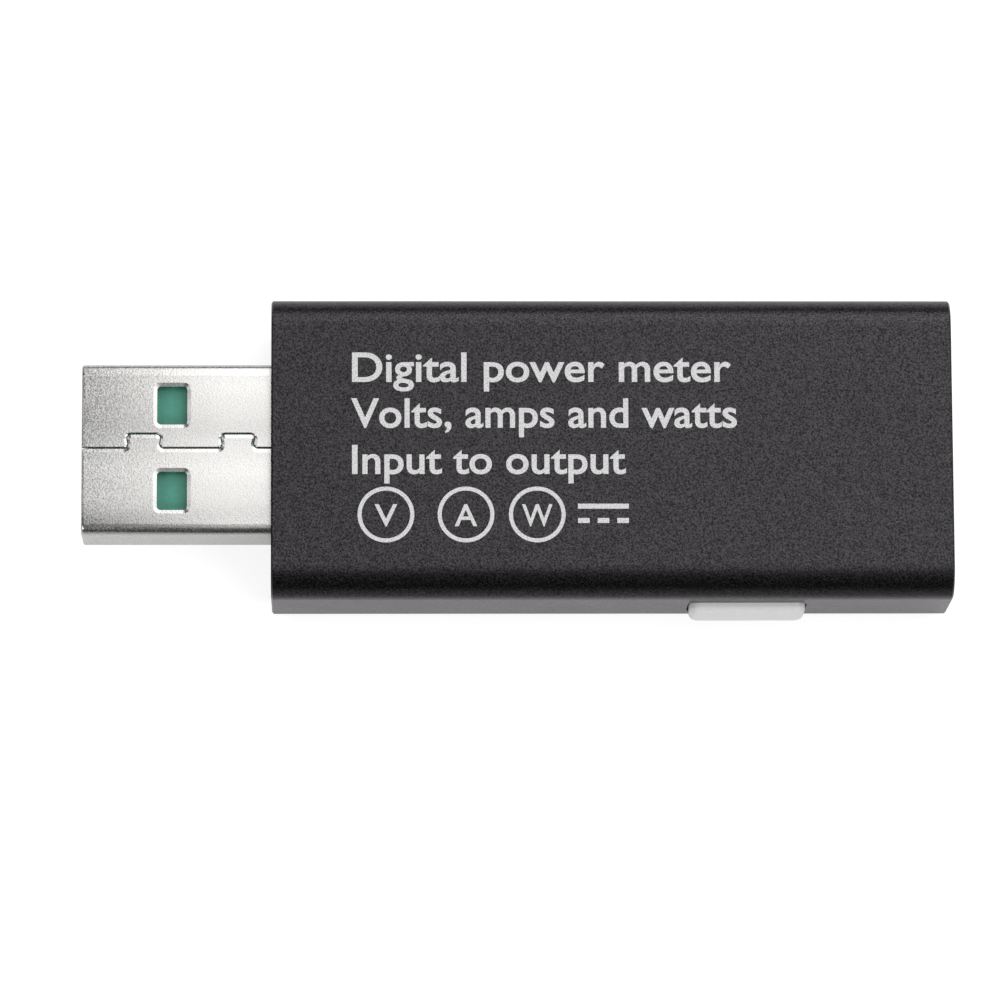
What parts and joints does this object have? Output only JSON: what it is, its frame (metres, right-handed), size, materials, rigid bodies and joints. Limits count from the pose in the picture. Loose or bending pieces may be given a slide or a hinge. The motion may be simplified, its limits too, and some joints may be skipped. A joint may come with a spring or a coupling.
{
  "type": "usb power meter",
  "caption": "Pocket USB power meter: a black aluminium tube with a USB-A plug, a sunk USB-A socket, a display under a lens and a white side button.",
  "frame": {"origin": "middle of the footprint, on the surface that the meter rests on: the display face is at z = 0", "axes": "+X from the plug towards the socket along the housing, +Z out of the label face, -Y out of the side with the button"},
  "size_m": [0.0602, 0.0218, 0.0098],
  "materials": {
    "black_anodised": "bead-blasted, black anodised",
    "black_plastic": "fine texture",
    "black_tape": "thin black adhesive tape",
    "board_laminate": "black solder resist on glass laminate",
    "capacitor_ceramic": "fired ceramic with tinned ends",
    "chip_epoxy": "moulded epoxy",
    "clear_plastic": "clear acrylic",
    "display_glass": "thin display glass",
    "ferrite": "pressed ferrite",
    "foam": "closed-cell foam tape",
    "gold_plate": "thin gold plate over a copper alloy",
    "green_plastic": "moulded green plastic",
    "nickel_steel": "nickel-plated sheet steel",
    "polariser": "dark polarising film",
    "polyimide": "amber polyimide film",
    "reflector_plastic": "white reflective plastic",
    "resistor_ceramic": "glazed film on alumina with tinned ends",
    "shunt_alloy": "copper-manganese strip",
    "smoked_lens": "polished smoked acrylic with a black printed border",
    "spring_steel": "stainless spring strip",
    "tinned_metal": "tinned sheet",
    "white_plastic": "satin, slightly translucent white",
    "etched_label": "light grey laser-etched lettering, drawn in the looks and too thin for a solid"
  },
  "bodies": {
    "housing": {"backlight_lamps": "reflector_plastic", "backlight_tray": "reflector_plastic", "ceramic_capacitors": "capacitor_ceramic", "chip_resistors": "resistor_ceramic", "circuit_board": "board_laminate", "display_driver_chip": "chip_epoxy", "display_flex": "polyimide", "display_foam_tape": "foam", "display_front_glass": "display_glass", "display_lens": "smoked_lens", "display_polariser": "polariser", "display_rear_glass": "display_glass", "housing_tube": "black_anodised", "insulation_sheet": "polyimide", "lens_tape": "black_tape", "light_guide": "clear_plastic", "memory_chip": "chip_epoxy", "memory_chip_leads": "tinned_metal", "meter_chip": "chip_epoxy", "meter_chip_leads": "tinned_metal", "plug_contact_data_minus": "gold_plate", "plug_contact_data_plus": "gold_plate", "plug_contact_ground": "gold_plate", "plug_contact_supply": "gold_plate", "plug_end_cap": "black_plastic", "plug_insulator": "green_plastic", "plug_shell": "nickel_steel", "regulator_chip": "chip_epoxy", "regulator_chip_leads": "tinned_metal", "shunt_resistor": "shunt_alloy", "socket_contact_data_minus": "gold_plate", "socket_contact_data_plus": "gold_plate", "socket_contact_ground": "gold_plate", "socket_contact_supply": "gold_plate", "socket_end_cap": "black_plastic", "socket_insulator": "green_plastic", "socket_shell": "nickel_steel", "supply_diode": "chip_epoxy", "supply_diode_tabs": "tinned_metal", "supply_inductor": "ferrite", "switch_base": "black_plastic", "switch_cover": "tinned_metal", "switch_leaf": "spring_steel", "switch_terminals": "tinned_metal"},
    "button": {"button_cap": "white_plastic"},
    "plunger": {"switch_plunger": "white_plastic"}
  },
  "joints": [
    {"name": "button_press", "type": "slide", "parent": "housing", "child": "button", "axis": [0, 1, 0], "range_m": [0, 0.00025], "stiffness_N_per_m": 6400},
    {"name": "plunger_press", "type": "slide", "parent": "housing", "child": "plunger", "axis": [0, 1, 0], "range_m": [0, 0.00025], "deforming": ["switch_leaf"]}
  ],
  "couplings": [
    {"joint": "plunger_press", "follows": "button_press", "ratio": 1}
  ]
}
